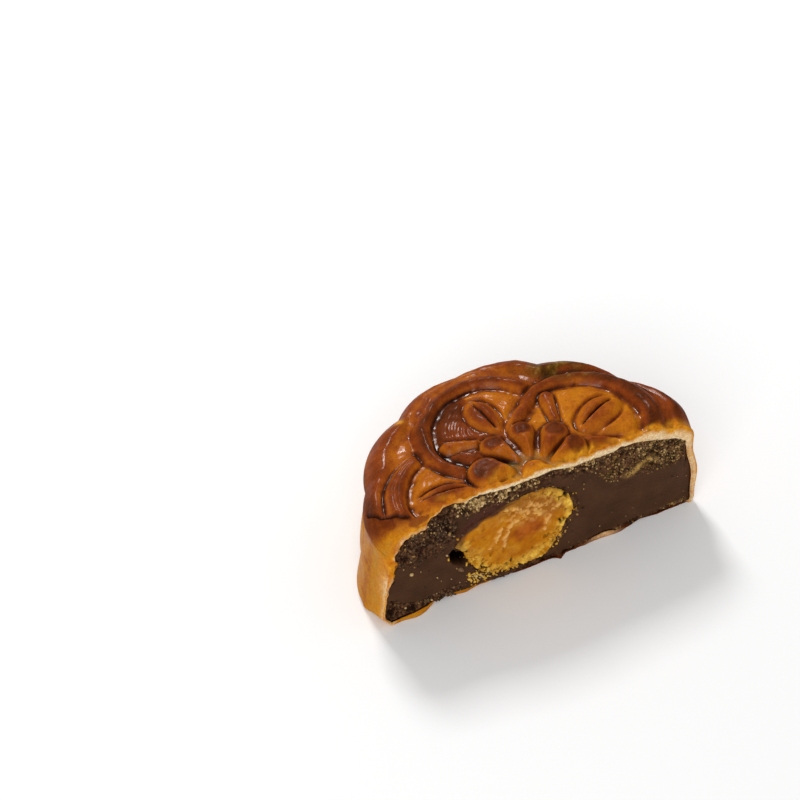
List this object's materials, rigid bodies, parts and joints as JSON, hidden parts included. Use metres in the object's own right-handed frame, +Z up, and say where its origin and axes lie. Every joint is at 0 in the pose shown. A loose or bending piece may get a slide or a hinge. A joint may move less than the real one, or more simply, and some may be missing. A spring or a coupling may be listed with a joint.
{
  "type": "half red bean mooncake",
  "caption": "Baked mooncake cut in half, resting on its base: thin moulded crust with a flower in relief and a lobed side, dark bean paste filling and a cut egg yolk.",
  "frame": {"origin": "middle of the footprint's bounding box, on the surface that the base stands on", "axes": "+Z up through the moulded top, +X to the right along the cut, -Y out of the cut face"},
  "size_m": [0.0768, 0.0398, 0.0315],
  "materials": {
    "crust": "baked pastry with an egg glaze, glossy red-brown on the raised relief, amber in the fields, yellow-tan on the side, cream where it is cut",
    "red_bean_paste": "dense dark brown bean paste, smeared smooth by the knife and crumbly under the crust",
    "egg_yolk": "cured egg yolk, waxy orange in the middle and crumbly yellow at its edge"
  },
  "bodies": {
    "root": {"crust": "crust", "red_bean_paste": "red_bean_paste", "egg_yolk": "egg_yolk"}
  },
  "joints": []
}
